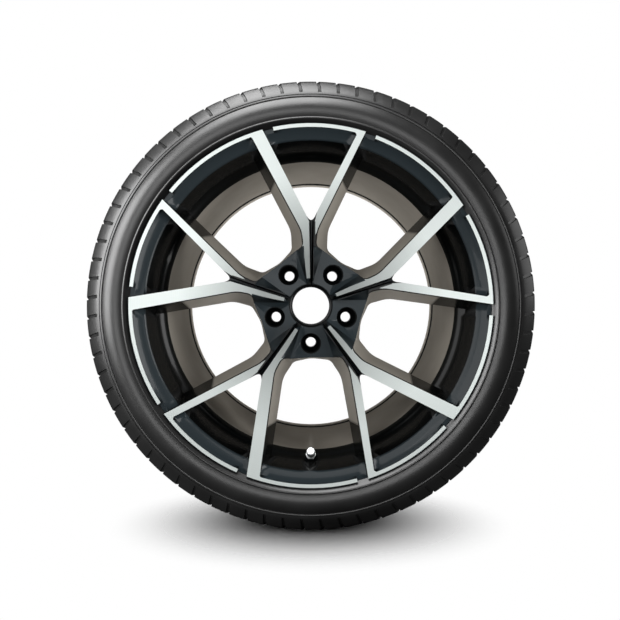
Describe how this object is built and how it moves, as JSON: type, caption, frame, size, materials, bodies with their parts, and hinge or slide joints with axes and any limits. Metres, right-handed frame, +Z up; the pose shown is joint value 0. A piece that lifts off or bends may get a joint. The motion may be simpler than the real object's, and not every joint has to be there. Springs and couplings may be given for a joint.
{
  "type": "car wheel and tyre",
  "caption": "One-piece cast alloy car wheel with forked spoke pairs, bright turned faces over black paint, a fitted low-profile tyre and a clamp-in valve; bolts to a car's hub.",
  "frame": {"origin": "centre of the assembly's bounding box, on the wheel's axis at the middle of the rim's width", "axes": "+Y along the wheel's axis towards the car, so the outer face looks to -Y; +Z up; valve at the bottom"},
  "size_m": [0.654, 0.247, 0.6538],
  "materials": {
    "alloy": "gloss black paint over the casting, with spoke faces and lip turned bright",
    "tyre": "satin black rubber",
    "valve_metal": "turned, satin",
    "valve_rubber": "matt",
    "valve_brass": "turned"
  },
  "bodies": {
    "wheel": {"alloy_wheel": "alloy", "tyre": "tyre", "valve_stem": "valve_metal", "valve_seal": "valve_rubber", "valve_nut": "valve_metal", "valve_core": "valve_brass"},
    "cap": {"valve_cap": "valve_metal"},
    "core_pin": {"valve_core_pin": "valve_brass"}
  },
  "joints": [
    {"name": "cap_off", "type": "slide", "parent": "wheel", "child": "cap", "axis": [0, -0.766, 0.6428], "range_m": [0, 0.012]},
    {"name": "core_pin_press", "type": "slide", "parent": "wheel", "child": "core_pin", "axis": [0, 0.766, -0.6428], "range_m": [0, 0.0012], "stiffness_N_per_m": 3000}
  ]
}
